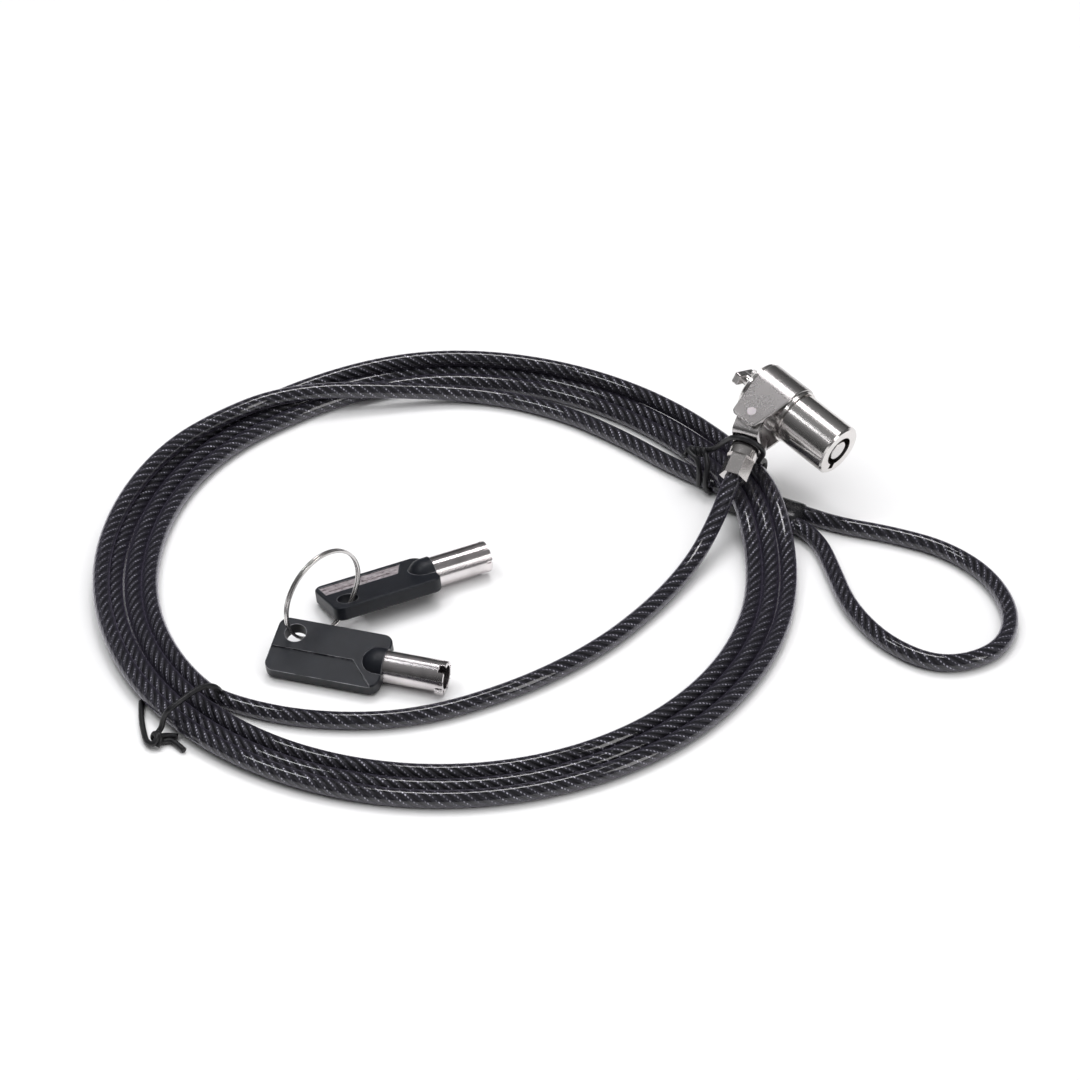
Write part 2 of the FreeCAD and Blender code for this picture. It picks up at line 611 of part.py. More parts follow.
def wire_end(start, end):
    """A straight stretch of tie wire with round ends."""
    direction = end - start
    wire = mm("tie_wire")
    stretch = Part.makeCylinder(wire, direction.Length, start, direction)
    return stretch.fuse([Part.makeSphere(wire + 0.03, start), Part.makeSphere(wire + 0.03, end)])


def ties():
    """The two coated-wire ties: one round the coil, one round the coil and the ferrule's crown."""
    top = mm("coil_height") + 0.7
    outside = mm("coil_outer") + mm("tie_wire")
    left = band(219.5, mm("coil_inner") - mm("tie_wire"), outside)
    loop_top, loop_side = place(-86.9, -67.1, 3.6), place(-93.4, -63.8, 2.2)
    loop_foot, loop_end = place(-91.2, -75.4, 0.9), place(-83.2, -78.2, 0.7)
    left = left.fuse([wire_end(loop_top, loop_side), wire_end(loop_side, loop_foot),
                      wire_end(loop_foot, loop_end)])
    right = band(33.0, 65.0, outside)
    crown = Part.makeTorus(mm("ferrule_radius") + mm("tie_wire") + 0.05, mm("tie_wire"), V(0, -6.35, 0),
                           V(0, 1, 0))
    crown.Placement = LINK.multiply(crown.Placement)
    joint = place(36.0, 24.2, top)
    right = right.fuse([crown, wire_end(joint, place(45.9, 17.0, 13.9)),
                        wire_end(joint, place(33.6, 20.4, 3.4))])
    for name, shape in (("coil_tie", left), ("ferrule_tie", right)):
        feature = doc.addObject("Part::Feature", name)
        feature.Shape = shape.removeSplitter()
        keep(name, feature)


# --- keys ---------------------------------------------------------------------------------------

def key_placement(x, y, yaw, roll):
    return FreeCAD.Placement(place(x, y, mm("boss_radius")), FreeCAD.Rotation(yaw, 0, roll))


def insert_plate(name, gap, bottom, thickness):
    """The outline of the insert with its slanted end, wider by gap all round, as a plate."""
    left = -mm("head_length") / 2 + 1.2 - gap
    near = -mm("head_width") / 2 + 1.5 - gap
    far = near + mm("insert_width") + 2 * gap
    right = left + mm("insert_length") + 2 * gap
    corners = [V(left, near, bottom), V(right, near, bottom), V(right - mm("insert_slant"), far, bottom),
               V(left, far, bottom)]
    plate = doc.addObject("Part::Feature", name)
    plate.Shape = Part.Face(Part.makePolygon(corners + [corners[0]])).extrude(V(0, 0, thickness))
    return plate


def key(prefix, placement):
    """One key: moulded head, notched tube and the metal insert let into the head's underside."""
    half_length = mm("head_length") / 2
    half_width = mm("head_width") / 2
    half = mm("head_thickness") / 2
    slab = block(f"{prefix}_slab", ("head_length", "head_width", "head_thickness"),
                 (-half_length, -half_width, -half))
    corners = rounded(f"{prefix}_corners", slab, mm("head_corner"),
                      lambda edge: abs(edge.Length - mm("head_thickness")) < 0.01)
    edges = rounded(f"{prefix}_edges", corners, mm("head_edge"), lambda edge: abs(edge.CenterOfMass.z) > half - 0.01)
    boss = rod(f"{prefix}_boss", "boss_start", half_length, "boss_radius")
    dome = doc.addObject("Part::Sphere", f"{prefix}_dome")
    bind(dome, "Radius", "boss_radius")
    dome.Placement = FreeCAD.Placement(V(mm("boss_start"), 0, 0), FreeCAD.Rotation())
    blank = fuse(f"{prefix}_blank", [edges, boss, dome])
    panel = doc.addObject("Part::Feature", f"{prefix}_panel")
    line = -1.0
    shape = [V(-half_length - 1, line, 0), V(6.1, line, 0), V(12.6, -half_width - 0.5, 0),
             V(-half_length - 1, -half_width - 0.5, 0)]
    panel.Shape = Part.Face(Part.makePolygon(shape + [shape[0]])).extrude(V(0, 0, 2)).translated(V(0, 0, half - 0.4))
    recess = insert_plate(f"{prefix}_recess", 0.05, -half - 1, mm("insert_sunk") + mm("insert_thickness") + 1)
    hole_x = -half_length + mm("key_hole_end")
    hole_y = half_width - mm("key_hole_side")
    hole = rod(f"{prefix}_ring_hole", -5, 5, "key_hole_radius", (hole_x, hole_y), "Z")
    tube_seat = rod(f"{prefix}_tube_seat", "tube_start", 20, "tube_radius")
    tools = fuse(f"{prefix}_tools", [panel, recess, hole, tube_seat])
    keep(f"{prefix}_head", cut(f"{prefix}_head_cut", blank, tools), placement)
    insert = insert_plate(f"{prefix}_insert_blank", 0.0, -half + mm("insert_sunk"), mm("insert_thickness"))
    groove = block(f"{prefix}_insert_groove", (15.5, 0.5, 1.0),
                   (-half_length + 2.6, -half_width + 4.0, -half + mm("insert_sunk") - 0.6))
    keep(f"{prefix}_insert", cut(f"{prefix}_insert_cut", insert, groove), placement)
    outside = rod(f"{prefix}_tube_outside", "tube_start", "tube_end", "tube_radius")
    nib = block(f"{prefix}_nib", (1.7, 1.6, 0.75), (mm("tube_end") - 1.7, -0.8, mm("tube_radius") - 0.2), 102)
    bore = rod(f"{prefix}_tube_bore", size("tube_start") + 6, size("tube_end") + 1, "tube_bore")
    end_slot = block(f"{prefix}_end_slot", (2.0, 1.8, 3.0), (mm("tube_end") - 1.5, -0.9, 2.0), 8)
    cuts = [rod(f"{prefix}_cut{number}", mm("tube_end") - 1.6 + 0.25 * PIN_STEPS[number], size("tube_end") + 1,
                0.45, (3.35 * spot[0] / mm("pin_circle"), 3.35 * spot[1] / mm("pin_circle")))
            for number, spot in enumerate(pin_spots())]
    tube_blank = fuse(f"{prefix}_tube_blank", [outside, nib])
    tube_tools = fuse(f"{prefix}_tube_tools", [bore, end_slot] + cuts)
    keep(f"{prefix}_tube", cut(f"{prefix}_tube_cut", tube_blank, tube_tools), placement)
    return placement.multVec(V(hole_x, hole_y, 0)), placement.Rotation.multVec(V(0, 0, 1))


def split_ring(front_hole, rear_hole):
    """Two-turn split ring standing upright through the holes of both keys."""
    between = rear_hole - front_hole
    half_chord = between.Length / 2
    radius = mm("ring_outer") - mm("ring_band") / 2
    rise = math.sqrt(radius ** 2 - half_chord ** 2)
    centre = (front_hole + rear_hole) * 0.5 + V(0, 0, rise) - V(between).normalize() * mm("ring_shift")
    inner = mm("ring_outer") - mm("ring_band")
    half = mm("ring_width") / 2
    split = 0.12
    corners = [V(inner, 0, -half), V(inner, 0, half), V(mm("ring_outer"), 0, half),
               V(mm("ring_outer"), 0, split), V(mm("ring_outer") - 0.3, 0, 0),
               V(mm("ring_outer"), 0, -split), V(mm("ring_outer"), 0, -half)]
    face = Part.Face(Part.makePolygon(corners + [corners[0]]))
    ring = face.revolve(V(0, 0, 0), V(0, 0, 1), 360)
    feature = doc.addObject("Part::Feature", "ring")
    feature.Shape = ring
    yaw = math.degrees(math.atan2(between.y, between.x))
    turn = FreeCAD.Rotation(V(0, 0, 1), yaw).multiply(FreeCAD.Rotation(V(1, 0, 0), 90))
    keep("split_ring", feature, FreeCAD.Placement(centre, turn))
    return centre


# --- assembly -----------------------------------------------------------------------------------

barrel()
nose()
spindle()
rotor()
pin_stacks()
yoke()
link()
ferrule()
cable()
coil()
ties()
front = key("front_key", key_placement(mm("front_key_x"), mm("front_key_y"), mm("front_key_yaw"), mm("key_tilt")))
rear = key("rear_key", key_placement(mm("rear_key_x"), mm("rear_key_y"), mm("rear_key_yaw"), 180 - mm("key_tilt")))
ring_centre = split_ring(front[0], rear[0])
print("holes", front[0], rear[0], "ring", ring_centre)
doc.recompute()

for thing in doc.Objects:
    if "Invalid" in thing.State or "Error" in thing.State:
        raise RuntimeError(f"{thing.Label} did not compute: {thing.State}")
for name, thing in nodes.items():
    if thing.Shape.isNull() or not thing.Shape.isValid() or not thing.Shape.Solids:
        raise RuntimeError(f"{name} has no valid solid")

os.makedirs("parts", exist_ok=True)
for name, thing in nodes.items():
    thing.Shape.exportStep(f"parts/{name}.step")
print(len(nodes), "nodes written")
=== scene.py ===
"""Laptop cable lock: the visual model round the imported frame. In metres, but for the values listed in mm."""
import bpy
import json
import math
from mathutils import Matrix, Vector


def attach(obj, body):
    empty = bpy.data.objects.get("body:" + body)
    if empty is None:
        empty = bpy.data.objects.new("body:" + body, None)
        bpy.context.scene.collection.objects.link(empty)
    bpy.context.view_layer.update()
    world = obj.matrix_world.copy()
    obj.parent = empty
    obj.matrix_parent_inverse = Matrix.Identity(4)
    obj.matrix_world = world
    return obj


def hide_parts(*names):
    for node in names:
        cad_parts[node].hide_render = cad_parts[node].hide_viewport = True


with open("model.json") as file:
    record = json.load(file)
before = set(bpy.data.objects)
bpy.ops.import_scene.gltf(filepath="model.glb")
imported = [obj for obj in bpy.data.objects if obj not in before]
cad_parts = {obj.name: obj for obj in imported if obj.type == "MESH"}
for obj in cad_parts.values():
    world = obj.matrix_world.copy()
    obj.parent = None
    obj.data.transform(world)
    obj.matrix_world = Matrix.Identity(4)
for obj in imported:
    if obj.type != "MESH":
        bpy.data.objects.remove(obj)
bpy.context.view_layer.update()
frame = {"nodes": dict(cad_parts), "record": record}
NODES = frame["nodes"]

# --- places shared with the CAD model, in millimetres -------------------------------------------

ORIGIN = Vector((6.523, -11.777, 0))
RIVET = Vector((51.5, 20.2, 18.9))
LOCK_YAW, LOCK_PITCH, LOCK_ROLL, FERRULE_SWING = -44.7, 11.5, 23.1, 23.3
COIL = Vector((-22.0, -13.5, 0))
CABLE_WIDTH = 4.0
SLEEVE = Vector((53.9, 9.8, 0))
SLEEVE_YAW = -28.0
SLEEVE_SIZE = (20.5, 8.8, 5.0)
FRONT_KEY, REAR_KEY = (-48.0, -48.0, -15.8, 15.0), (-37.7, -23.7, 26.5, 165.0)
KEY_RISE, KEY_HOLE = 4.0, Vector((-9.0, 3.4, 0))
RING_OUTER, RING_BAND, RING_TURN, RING_SHIFT = 11.6, 0.8, 0.58, -0.25

LEAD = [(41.6, -2.3, 7.2), (35.8, -13.2, 3.0), (26.5, -27.6, 2.0), (13.0, -43.6, 2.0), (-5.5, -57.6, 2.0),
        (-28.5, -68.0, 2.0), (-52.0, -68.4, 2.0), (-71.5, -62.0, 2.2)]
TAIL = [(-40.0, 56.2, 2.0), (-16.0, 57.4, 2.0), (4.5, 50.0, 2.0), (20.0, 38.6, 2.0), (33.0, 26.2, 2.0),
        (46.6, 16.1, 2.4)]
EYE = [(63.2, 7.2, 2.4), (71.5, 3.2, 2.0), (83.5, -0.2, 2.0), (96.5, -6.0, 2.0), (106.3, -17.0, 2.0),
       (110.0, -32.0, 2.0), (105.0, -44.5, 2.0), (92.0, -49.6, 2.0), (80.0, -42.0, 2.0), (72.0, -28.5, 2.0),
       (69.0, -14.0, 2.0), (66.6, -3.6, 2.0), (61.2, 3.6, 2.4)]

# how the strand lies in the bundle: angle from the coil's centre, radius, height of its middle
BUNDLE = [(222, 70.0, 2.2), (180, 70.0, 2.0), (130, 72.6, 2.0), (90, 76.3, 2.0), (45, 74.5, 2.0),
          (0, 72.6, 2.0), (-90, 73.6, 2.9), (-180, 74.0, 2.0), (-230, 76.4, 2.0), (-270, 80.2, 2.0),
          (-315, 78.6, 2.0), (-360, 76.6, 2.0), (-450, 77.4, 2.0), (-540, 78.3, 2.0), (-590, 80.3, 2.8),
          (-630, 81.2, 5.7), (-675, 81.8, 4.6), (-720, 80.8, 2.0), (-810, 81.2, 2.0), (-860, 81.3, 2.8),
          (-900, 81.3, 4.4), (-930, 80.6, 6.0), (-950, 78.2, 6.3), (-966, 73.6, 6.2), (-978, 69.8, 4.6)]
HUMP_ANGLE, HUMP_WIDTH, HUMP_RISE = 17.0, 12.0, 4.9
STEP = 10.0
CABLE_END, FERRULE_MOUTH = -8.6, -14.9   # along the ferrule, from the rivet

# --- sizes of the visual model's own pieces, in metres ------------------------------------------

STRANDS, LAY_PITCH = 6, 0.0027
TIE_RADIUS = 0.00067
RING_MARGIN, TURN_GAP = 0.00005, 0.000015
FLOOR_DROP = 0.00005
CAMERA_RISE, CAMERA_DISTANCE, CAMERA_LENS = 38.0, 0.870, 121.33   # degrees, metres, millimetres


def turn_about(axis, degrees):
    return Matrix.Rotation(math.radians(degrees), 4, axis)


LOCK_TURN = turn_about("Z", LOCK_YAW) @ turn_about("Y", LOCK_PITCH) @ turn_about("X", LOCK_ROLL)
LINK_TURN = LOCK_TURN @ turn_about("Z", FERRULE_SWING)


def place(x, y, z):
    """A point of the table, from millimetres into the row frame."""
    return (Vector((x, y, z)) - ORIGIN) * 0.001


def on_link(x, y, z):
    """A point of the link's own frame, from millimetres into the row frame."""
    return place(*RIVET) + LINK_TURN.to_3x3() @ Vector((x, y, z)) * 0.001


# --- material nodes -----------------------------------------------------------------------------

class Shader:
    """A node material with short calls for adding and joining nodes."""

    def __init__(self, name):
        self.material = bpy.data.materials.new(name)
        self.material.use_nodes = True
        self.tree = self.material.node_tree
        self.bsdf = self.tree.nodes["Principled BSDF"]

    def set(self, **values):
        for name, value in values.items():
            self.bsdf.inputs[name.replace("_", " ")].default_value = value

    def node(self, kind, **settings):
        made = self.tree.nodes.new(kind)
        for name, value in settings.items():
            setattr(made, name, value)
        return made

    def join(self, out, into):
        self.tree.links.new(out, into)

    def math(self, operation, first, second=None):
        made = self.node("ShaderNodeMath", operation=operation)
        for socket, value in zip(made.inputs, (first, second)):
            if isinstance(value, (int, float)):
                socket.default_value = value
            elif value is not None:
                self.join(value, socket)
        return made.outputs[0]

    def coordinates(self):
        return self.node("ShaderNodeTexCoord").outputs["Object"]

    def stretched(self, scale):
        mapping = self.node("ShaderNodeMapping")
        mapping.inputs["Scale"].default_value = scale
        self.join(self.coordinates(), mapping.inputs["Vector"])
        return mapping.outputs[0]

    def noise(self, scale, detail=3.0, vector=None):
        made = self.node("ShaderNodeTexNoise")
        made.inputs["Scale"].default_value = scale
        made.inputs["Detail"].default_value = detail
        made.inputs["Roughness"].default_value = 0.55
        self.join(vector or self.coordinates(), made.inputs["Vector"])
        return made.outputs["Fac"]

    def range(self, value, low, high, to_low=0.0, to_high=1.0):
        made = self.node("ShaderNodeMapRange")
        for name, number in (("From Min", low), ("From Max", high), ("To Min", to_low), ("To Max", to_high)):
            made.inputs[name].default_value = number
        self.join(value, made.inputs["Value"])
        return made.outputs[0]

    def mix(self, factor, first, second):
        made = self.node("ShaderNodeMix", data_type="RGBA")
        for socket, value in ((made.inputs[0], factor), (made.inputs[6], first), (made.inputs[7], second)):
            if isinstance(value, (int, float)):
                socket.default_value = value
            elif isinstance(value, tuple):
                socket.default_value = (*value, 1.0)
            else:
                self.join(value, socket)
        return made.outputs[2]

    def bump(self, height, distance, strength, into="Normal"):
        made = self.node("ShaderNodeBump")
        made.inputs["Distance"].default_value = distance
        made.inputs["Strength"].default_value = strength
        self.join(height, made.inputs["Height"])
        self.join(made.outputs[0], self.bsdf.inputs[into])

    def colour(self, value):
        self.join(value, self.bsdf.inputs["Base Color"])

    def roughness(self, value):
        self.join(value, self.bsdf.inputs["Roughness"])

    def edges(self, reach):
        """Bright within reach of an edge, where the rounded-over normal leaves the true one."""
        rounded = self.node("ShaderNodeBevel", samples=8)
        rounded.inputs["Radius"].default_value = reach
        dot = self.node("ShaderNodeVectorMath", operation="DOT_PRODUCT")
        self.join(rounded.outputs[0], dot.inputs[0])
        self.join(self.node("ShaderNodeNewGeometry").outputs["Normal"], dot.inputs[1])
        return self.range(dot.outputs["Value"], 0.985, 0.9)


def cable_material():
    """Clear smoky jacket over a right-hand laid steel rope. The cable's UV X counts strands.

    The jacket is thickest at a grazing view, where its gloss hides the rope behind smoky plastic.
    """
    shader = Shader("cable_jacket")
    split = shader.node("ShaderNodeSeparateXYZ")
    shader.join(shader.node("ShaderNodeUVMap", uv_map="lay").outputs[0], split.inputs[0])
    across, along = split.outputs[0], split.outputs[1]
    phase = shader.math("FRACT", across)
    crown = shader.math("MULTIPLY", shader.math("PINGPONG", phase, 0.5), 2.0)
    round_top = shader.math("SQRT", shader.math("SUBTRACT", 1.0, shader.math(
        "POWER", shader.math("SUBTRACT", 1.0, crown), 2.0)))
    wires = shader.math("FRACT", shader.math("ADD", shader.math("MULTIPLY", across, 0.5),
                                             shader.math("MULTIPLY", along, 1500.0)))
    wire_top = shader.math("MULTIPLY", shader.math("PINGPONG", wires, 0.5), 2.0)
    patches = shader.noise(260.0, 2.0)
    glint_breakup = shader.noise(1400.0, 2.0)
    # painted highlight: beaded light-grey glint dashes along each strand's crown, broken up by noise, standing
    # in for light catching the wires
    glint = shader.math("MULTIPLY", shader.range(wire_top, 0.3, 0.8), shader.range(crown, 0.74, 0.96))
    glint = shader.math("MULTIPLY", glint, shader.range(glint_breakup, 0.36, 0.58))
    glint = shader.math("MULTIPLY", glint, shader.range(patches, 0.3, 0.68, 0.15, 1.0))
    # painted shade: the rope's colour is darkened into the grooves between strands and lightened on their
    # crowns, where light falls
    body = shader.mix(shader.range(crown, 0.1, 1.0), (0.0015, 0.0015, 0.002), (0.024, 0.0235, 0.0275))
    # the painted glint highlight is mixed into the rope's base colour here
    rope = shader.mix(glint, body, (0.78, 0.78, 0.8))
    facing = shader.node("ShaderNodeLayerWeight").outputs["Facing"]
    shader.colour(shader.mix(shader.range(facing, 0.25, 0.6), rope, (0.0125, 0.0115, 0.0165)))
    shader.set(Metallic=0.2, Roughness=0.45, Coat_Weight=1.0, Coat_Roughness=0.06, Coat_IOR=1.5)
    shader.set(Sheen_Weight=0.22, Sheen_Roughness=0.35)
    shader.bsdf.inputs["Sheen Tint"].default_value = (0.62, 0.55, 0.78, 1.0)
    shader.bsdf.inputs["Coat Tint"].default_value = (0.9, 0.88, 1.0, 1.0)
    shader.bump(round_top, 0.0006, 0.9)
    ripple = shader.math("ADD", shader.math("MULTIPLY", round_top, 0.6),
                         shader.math("MULTIPLY", patches, 0.5))
    shader.bump(ripple, 0.00006, 0.16, "Coat Normal")
    return shader.material


def metal(name, base, rough, grain_scale, smudge=0.1, bump=0.00002, dark=0.75):
    """Plated metal with fine grain, faint smudges and slightly darker patches."""
    shader = Shader(name)
    smudges = shader.noise(130.0, 4.0)
    grain = shader.noise(1.0, 3.0, shader.stretched(grain_scale))
    low = tuple(channel * dark for channel in base)
    shader.colour(shader.mix(shader.range(smudges, 0.35, 0.62), low, base))
    shader.roughness(shader.math("ADD", shader.range(smudges, 0.3, 0.75, rough, rough + smudge),
                                 shader.math("MULTIPLY", grain, 0.02)))
    shader.set(Metallic=1.0)
    shader.bump(grain, bump, 0.12)
    return shader.material


def moulded_plastic():
    """Key heads: charcoal plastic with a spark-eroded texture, and rubbed, greyer edges."""
    shader = Shader("key_plastic")
    fine = shader.noise(4200.0, 3.0)
    broad = shader.noise(300.0, 4.0)
    body = shader.mix(shader.range(broad, 0.3, 0.7), (0.006, 0.0072, 0.0105), (0.010, 0.0116, 0.0165))
    worn = shader.math("MULTIPLY", shader.edges(0.00035), shader.range(broad, 0.38, 0.6, 0.1, 1.0))
    shader.colour(shader.mix(worn, body, (0.26, 0.26, 0.28)))
    shader.roughness(shader.range(fine, 0.3, 0.7, 0.38, 0.5))
    shader.set(IOR=1.46)
    shader.bump(shader.math("ADD", fine, shader.math("MULTIPLY", broad, 0.6)), 0.00004, 0.5)
    return shader.material


def black_coating(name, rough):
    """Soft black coating with fine creases."""
    shader = Shader(name)
    creases = shader.noise(900.0, 3.0)
    shader.colour(shader.mix(shader.range(creases, 0.3, 0.7), (0.006, 0.006, 0.007), (0.016, 0.016, 0.018)))
    shader.roughness(shader.range(creases, 0.3, 0.7, rough, rough + 0.12))
    shader.bump(creases, 0.00006, 0.5)
    return shader.material


def insert_material():
    """Rolled metal strip let into the key, with a pinkish cast and lines along it."""
    shader = Shader("insert_metal")
    lines = shader.noise(1.0, 2.0, shader.stretched((900.0, 900.0, 3000.0)))
    shader.colour(shader.mix(shader.range(lines, 0.35, 0.65), (0.36, 0.31, 0.33), (0.62, 0.57, 0.59)))
    shader.roughness(shader.range(lines, 0.3, 0.7, 0.26, 0.42))
    shader.set(Metallic=0.45)
    shader.bump(lines, 0.00005, 0.5)
    return shader.material


def floor_material():
    shader = Shader("pale_floor")
    tone = shader.noise(3.0, 2.0)
    shader.colour(shader.mix(tone, (0.88, 0.88, 0.885), (0.9, 0.9, 0.9)))
    shader.set(Roughness=0.7)
    return shader.material


CABLE = cable_material()
BRIGHT = metal("bright_nickel", (0.76, 0.735, 0.72), 0.17, (900.0, 900.0, 900.0), 0.03, 0.000005, 0.94)
SATIN = metal("satin_nickel", (0.58, 0.56, 0.555), 0.25, (2400.0, 2400.0, 2400.0), 0.03, 0.000006, 0.97)
RIVET_METAL = metal("rivet_nickel", (0.84, 0.79, 0.81), 0.36, (1500.0, 1500.0, 1500.0), 0.04, 0.00001, 0.9)
STEEL = metal("plated_steel", (0.72, 0.70, 0.69), 0.2, (700.0, 700.0, 700.0), 0.08, 0.00001, 0.92)
TUBE = metal("key_tube_nickel", (0.80, 0.76, 0.765), 0.16, (900.0, 900.0, 900.0), 0.08, 0.00002)
BRASS = metal("core_brass", (0.62, 0.50, 0.30), 0.25, (900.0, 900.0, 900.0))
PLASTIC = moulded_plastic()
TIE = black_coating("tie_coating", 0.34)
COVER = black_coating("sleeve_cover", 0.2)
STRIP = insert_material()

FINISH = {
    "bright_nickel": BRIGHT, "satin_nickel": SATIN, "plated_steel": STEEL, "core_brass": BRASS,
    "key_plastic": PLASTIC, "insert_metal": STRIP, "key_tube_nickel": TUBE, "sleeve_cover": COVER,
    "tie_coating": TIE, "cable_jacket": CABLE,
}
for part in frame["record"]["subparts"]:
    thing = NODES[part["node"]]
    if not thing.material_slots:
        thing.data.materials.append(None)
    for material_slot in thing.material_slots:
        material_slot.link = "OBJECT"
        material_slot.material = FINISH[part["material_slot"]]
for material_slot in NODES["yoke_rivet"].material_slots:
    material_slot.material = RIVET_METAL


# --- curves and tubes ---------------------------------------------------------------------------

def spline_curve(name, points):
    """A smooth open NURBS curve with these points as its control points."""
    data = bpy.data.curves.new(name, "CURVE")
    data.dimensions = "3D"
    data.resolution_u = 8
    spline = data.splines.new("NURBS")
    spline.points.add(len(points) - 1)
    for control, point in zip(spline.points, points):
        control.co = (*point, 1.0)
    spline.use_endpoint_u = True
    spline.order_u = 3
    made = bpy.data.objects.new(name, data)
    bpy.context.collection.objects.link(made)
    return made


def followed(points):
    """The points of the smooth line that these control points make."""
    guide = spline_curve("guide", points)
    mesh = bpy.data.meshes.new_from_object(guide)
    line = [vertex.co.copy() for vertex in mesh.vertices]
    bpy.data.meshes.remove(mesh)
    bpy.data.objects.remove(guide)
    return [point for index, point in enumerate(line)
            if index == 0 or (point - line[index - 1]).length > 1e-6]


def frames_along(line):
    """Tangent, side and up at each point of a line, carried along it without twist."""
    side = None
    result = []
    for index, point in enumerate(line):
        ahead = line[min(index + 1, len(line) - 1)]
        behind = line[max(index - 1, 0)]
        tangent = (ahead - behind).normalized()
        if side is None:
            side = tangent.orthogonal().normalized()
        side = (side - tangent * side.dot(tangent)).normalized()
        result.append((point, tangent, side, tangent.cross(side)))
    return result


def tube(name, line, radius, sides, material, body, lay=None):
    """A mesh tube along a line with round ends. With lay, its UV X counts strands and Y is the length."""
    rings = frames_along(line)
    travelled = [0.0]
    for index in range(1, len(line)):
        travelled.append(travelled[-1] + (line[index] - line[index - 1]).length)
    vertices = []
    for point, tangent, side, up in rings:
        for corner in range(sides):
            angle = 2 * math.pi * corner / sides
            vertices.append(point + (side * math.cos(angle) + up * math.sin(angle)) * radius)
    faces = []
    for number in range(len(rings) - 1):
        for corner in range(sides):
            a = number * sides + corner
            b = number * sides + (corner + 1) % sides
            faces.append((a, b, b + sides, a + sides))
    faces.append(tuple(reversed(range(sides))))
    faces.append(tuple(range((len(rings) - 1) * sides, len(rings) * sides)))
    mesh = bpy.data.meshes.new(name)
    mesh.from_pydata(vertices, [], faces)
    if lay is not None:
        strands, pitch = lay
        uv = mesh.uv_layers.new(name="lay")
        loops = 0
        for number in range(len(rings) - 1):
            for corner in range(sides):
                for step, (du, dv) in enumerate(((0, 0), (1, 0), (1, 1), (0, 1))):
                    length = travelled[number + dv]
                    uv.data[loops + step].uv = (strands * (corner + du) / sides - length / pitch, length)
                loops += 4
    mesh.polygons.foreach_set("use_smooth", [True] * len(mesh.polygons))
    made = bpy.data.objects.new(name, mesh)
    bpy.context.collection.objects.link(made)
    mesh.materials.append(material)
    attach(made, body)
    return made


# --- the cable ----------------------------------------------------------------------------------

def eased(angle):
    """Radius and height of the bundled strand at an angle, eased between the listed places."""
    for (start, r0, z0), (end, r1, z1) in zip(BUNDLE, BUNDLE[1:]):
        if end <= angle <= start:
            t = (start - angle) / (start - end)
            t = t * t * (3 - 2 * t)
            return r0 + (r1 - r0) * t, z0 + (z1 - z0) * t
    return BUNDLE[-1][1:]


def bundle_points():
    """Control points of the turns in the bundle, with the rise over the crimp sleeve."""
    points = []
    angle = BUNDLE[0][0] - 6.0
    while angle >= BUNDLE[-1][0]:
        radius, height = eased(angle)
        off = (angle - HUMP_ANGLE + 180.0) % 360.0 - 180.0
        height += HUMP_RISE * math.exp(-(off / HUMP_WIDTH) ** 2)
        turned = math.radians(angle)
        points.append(COIL + Vector((radius * math.cos(turned), radius * math.sin(turned), height)))
        angle -= STEP
    return points


def cable_route():
    route = [on_link(0, CABLE_END, 0), on_link(0, FERRULE_MOUTH, 0)]
    route += [place(*point) for point in LEAD]
    route += [place(*point) for point in bundle_points()]
    route += [place(*point) for point in TAIL[1:]]
    route += [place(*point) for point in EYE]
    route.append(place(48.5, 10.6, 2.4))
    return route


cable_line = followed(cable_route())
cable = tube("cable", cable_line, CABLE_WIDTH / 2000, 20, CABLE, "cable", (STRANDS, LAY_PITCH))
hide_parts("cable_lead", "cable_coil", "cable_tail", "cable_eye")
cable_length = sum((b - a).length for a, b in zip(cable_line, cable_line[1:]))
print("cable length", round(cable_length, 4))


# --- ties ---------------------------------------------------------------------------------------

def wire(name, points):
    return tube(name, followed(points), TIE_RADIUS, 10, TIE, "cable")


def twisted(start, end, turns, gap):
    """Two wires twisted together from one point to another."""
    start, end = Vector(start), Vector(end)
    direction = (end - start).normalized()
    side = direction.orthogonal().normalized()
    up = direction.cross(side)
    pair = []
    for phase in (0.0, math.pi):
        points = []
        count = int(turns * 8)
        for number in range(count + 1):
            t = number / count
            angle = phase + 2 * math.pi * turns * t
            points.append(start.lerp(end, t) + (side * math.cos(angle) + up * math.sin(angle)) * gap)
        pair.append(points)
    return pair


def left_tie():
    """One wire over and under the bundle, twisted to itself below and left with two short ends."""
    over = [(-80.8, -72.4, 0.9), (-83.1, -72.3, 1.2), (-84.6, -73.6, 2.0), (-85.6, -73.4, 2.4),
            (-85.0, -72.2, 2.2), (-84.3, -71.6, 3.2), (-83.9, -71.0, 5.4), (-82.3, -70.9, 7.8),
            (-80.1, -69.2, 8.5), (-77.7, -66.3, 8.6), (-75.4, -63.9, 8.4), (-73.3, -62.6, 7.4),
            (-72.2, -61.4, 5.4), (-71.9, -60.4, 3.0), (-73.2, -60.2, 0.8), (-80.0, -60.6, 0.7),
            (-88.0, -59.4, 0.7), (-90.0, -60.6, 0.9)]
    back = [(-90.0, -60.6, 0.9), (-89.7, -65.2, 1.0), (-88.6, -71.0, 1.0), (-87.6, -74.6, 1.1),
            (-86.0, -75.9, 1.5), (-84.9, -74.6, 2.6), (-85.9, -72.9, 2.6), (-86.4, -73.6, 1.2),
            (-84.4, -74.2, 0.8), (-82.4, -73.6, 1.0), (-80.9, -74.9, 1.0), (-79.1, -76.9, 0.8)]
    wrap = [(-85.2, -75.8, 0.9), (-84.4, -74.9, 2.0), (-84.8, -73.6, 2.9), (-85.6, -72.9, 2.0),
            (-85.3, -73.6, 0.9), (-84.4, -74.6, 1.0)]
    band = wire("coil_tie_band", [place(*spot) for spot in over])
    ends = [wire("coil_tie_end_a", [place(*spot) for spot in back]),
            wire("coil_tie_end_b", [place(*spot) for spot in wrap])]
    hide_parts("coil_tie")
    return [band] + ends


